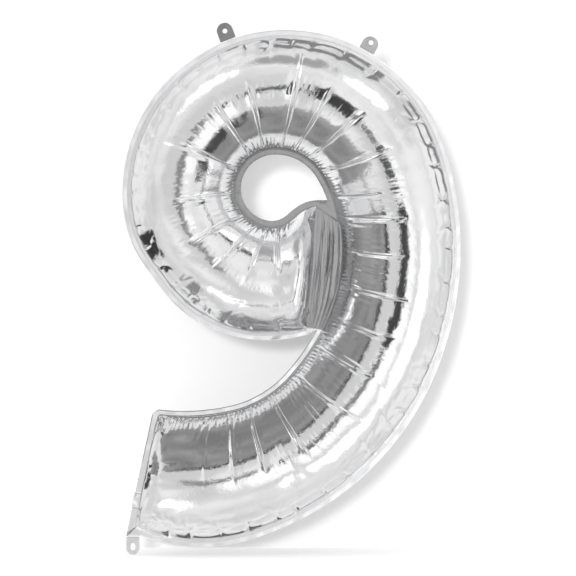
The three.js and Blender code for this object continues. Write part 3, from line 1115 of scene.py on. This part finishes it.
def strip(name, first, last, run, low, high, strength):
    """A strip of card in front and one behind, each facing the tube, as in STRIPS."""
    start, end = station_at(*first), station_at(*last)
    stations = inner_seam[start:end:CARD_STEP]
    if start == 0:
        before = set_back(stations[0], stations[0, :2], STRIP_OVERRUN)
        stations = np.vstack([[*before, stations[0, 2]], stations])
    share = np.linspace(0, 1, len(stations))
    rail = beside(stations, np.interp(share, (0, 1), run))
    for side, ending in ((-1, "front"), (1, "rear")):
        nearest = low if side < 0 else np.maximum(low, REAR_STRIP_FROM)
        edges = [np.interp(share, (0, 1), ends) * side for ends in (nearest, high)]
        faces = grid_faces(len(stations), 2, flip=side < 0)
        put_card(f"{name}_{ending}", rows_of(rail, *edges), faces, strength)


def flag(name, first, last, place, distance, width, strength):
    """A narrow card in front of the tube, as in FLAGS."""
    span = slice(station_at(*first), station_at(*last), CARD_STEP)
    stations = inner_seam[span]
    across = outer_seam[span] - stations[:, :2]
    y = -HALF_DEPTH * norm(across, axis=1) - distance
    middle = np.column_stack([stations[:, :2] + place * across, stations[:, 2]])
    edges = [rows_of(beside(middle, offset), y) for offset in (width / 2, -width / 2)]
    faces = grid_faces(len(stations), 2, flip=True)
    put_card(name, np.concatenate(edges, axis=1), faces, strength)


def put_light(name, kind, place, towards, power):
    """A light that shows in no reflection; it shines towards a direction."""
    data = bpy.data.lights.new(name, kind)
    data.energy = power
    piece = bpy.data.objects.new(name, data)
    aimed(piece, place, towards, "-Z")
    piece.visible_glossy = False
    scene.collection.objects.link(piece)
    return data


def lights():
    """Two suns for the shadow on wall and floor, and a light on the wall behind the counter."""
    put_light("key", "SUN", (0, 0, 0), (0.15, 1, -0.115), 1.6).angle = math.radians(7)
    put_light("overhead", "SUN", (0, 0, 0), (0.05, 0.1, -1), 1.2).angle = math.radians(80)
    spot = put_light("behind_counter", "SPOT", (-0.016, 0.02, 0.613), (0.028, 0.14, -0.013), 0.35)
    spot.spot_size = math.radians(110)
    spot.spot_blend = 1
    spot.shadow_soft_size = 0.03


def walls():
    """The floor, the wall behind the balloon, and the dome that only reflections see."""
    floor = [(-6, -8, FLOOR_AT), (6, -8, FLOOR_AT), (6, 8, FLOOR_AT), (-6, 8, FLOOR_AT)]
    wall = [(-5, WALL_AT, 0), (5, WALL_AT, 0), (5, WALL_AT, 5), (-5, WALL_AT, 5)]
    for name, corners, tone, glowing in (("floor", floor, 0.5, 0.47), ("wall", wall, 0.6, 0.22)):
        piece = stage_piece(name, corners, [[0, 1, 2, 3]], wall_material(name + "_pale", tone, glowing))
        piece.visible_glossy = False
    bpy.ops.mesh.primitive_uv_sphere_add(segments=48, ring_count=24, radius=5.5)
    dome = bpy.context.object
    dome.name = "dome"
    dome.data.materials.append(dome_material("dome", 0.66, 0.95, 0.35))
    only_in_reflections(dome)


def studio():
    world = bpy.data.worlds.new("studio")
    world.use_nodes = True
    fill(world.node_tree, world.node_tree.nodes["Background"], {"Color": (1, 1, 1, 1), "Strength": 1.0})
    scene.world = world
    walls()
    lights()
    for maker, rows in ((softbox, SOFTBOXES), (strip, STRIPS), (flag, FLAGS), (box_card, BOX_CARDS)):
        for row in rows:
            maker(*row)
    counter_lamps()


def camera():
    data = bpy.data.cameras.new("camera")
    data.sensor_width = 36
    data.lens = 36 * CAMERA_DISTANCE / VIEW_WIDTH
    data.clip_end = 60
    piece = bpy.data.objects.new("camera", data)
    piece.location = (VIEW_CENTRE[0], -CAMERA_DISTANCE, VIEW_CENTRE[1])
    piece.rotation_euler = (math.pi / 2, 0, 0)
    scene.collection.objects.link(piece)
    scene.camera = piece


# ---- the pieces ----


def finish_piece(piece, material, body, slot, *nodes):
    piece.data.materials.append(material)
    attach(piece, body)
    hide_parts(*nodes)
    return piece


def top_tab(name, zone, share, length, seed):
    """A tab on the outer edge beside a place along the tube."""
    station = outer_edge[station_at(zone, share)]
    root = beside(station[None, :], -0.5)[0]
    return tab(name, root, station[2] + math.pi, TAB_WIDTH, length, HOLE_AT, seed)


def tail_tab():
    sizes = (TAIL_TAB_WIDTH, TAIL_TAB_LENGTH, TAIL_HOLE_AT)
    return tab("tab_tail", TAIL_TAB_AT, math.pi, *sizes, 6, TAIL_HOLE_STRETCH)


camera()
studio()
scene.view_settings.view_transform = "Standard"

film = film_material("metallised_film", 0.93, 0.085, 0.0003, 120)
sealed = film_material("sealed_film", 0.97, 0.12, 0.0001, 260)
# The three tabs' films are the sheets' metallised film in darker tones, one for each tab, set to how
# dark that tab looks: painted shade and painted dark reflection, not a different film.
right_tab_painted_shade = film_material("right_tab_painted_shade", 0.55, 0.2, 0.0002, 260)
left_tab_painted_shade = film_material("left_tab_painted_shade", 0.32, 0.2, 0.0002, 260)
tail_tab_painted_shade = film_material("tail_tab_painted_shade", 0.84, 0.2, 0.0002, 260)
# The web's film is the sheets' metallised film darkened to a mid grey: painted shade and painted dark
# reflection of the flat web, not a different film.
web_painted_shade = film_material("web_painted_shade", 0.42, 0.16, 0.0003, 160)
clear = clear_material("valve_film")

front = finish_piece(inflated_sheet("front_film", 1, 9), film, "envelope", "foil", "front_panel")
rear = finish_piece(inflated_sheet("rear_film", -1, 31), film, "envelope", "foil", "rear_panel")
finish_piece(outer_seam_band(), sealed, "envelope", "sealed_foil", "outer_seam_band")
# The counter's margin and the web take the darkened web film: a painted dark ring of shade round the
# counter and painted shade on the web.
finish_piece(counter_seam_band(), web_painted_shade, "envelope", "sealed_foil", "counter_seam_band")
finish_piece(bridge_web(), web_painted_shade, "envelope", "foil", "bridge_web")

left = top_tab("tab_left", "crown_left", 2 / 11, LEFT_TAB_LENGTH, 3)
right = top_tab("tab_right", "crown_right", 5 / 9, RIGHT_TAB_LENGTH, 4)
# The tabs take those darkened films: painted shade, darkest on the left tab, lighter on the right one
# and lightest on the tail's tab.
finish_piece(left, left_tab_painted_shade, "left_tab", "sealed_foil", "hang_tab_left")
finish_piece(right, right_tab_painted_shade, "right_tab", "sealed_foil", "hang_tab_right")
finish_piece(tail_tab(), tail_tab_painted_shade, "lower_tab", "sealed_foil", "tail_tab")

finish_piece(inlet_lip("lip_front", 1), sealed, "front_lip", "sealed_foil", "inlet_lip_front")
finish_piece(inlet_lip("lip_rear", -1), sealed, "rear_lip", "sealed_foil", "inlet_lip_rear")
finish_piece(valve_film("valve_front", 1), clear, "envelope", "clear_film", "valve_front_film")
finish_piece(valve_film("valve_rear", -1), clear, "envelope", "clear_film", "valve_rear_film")
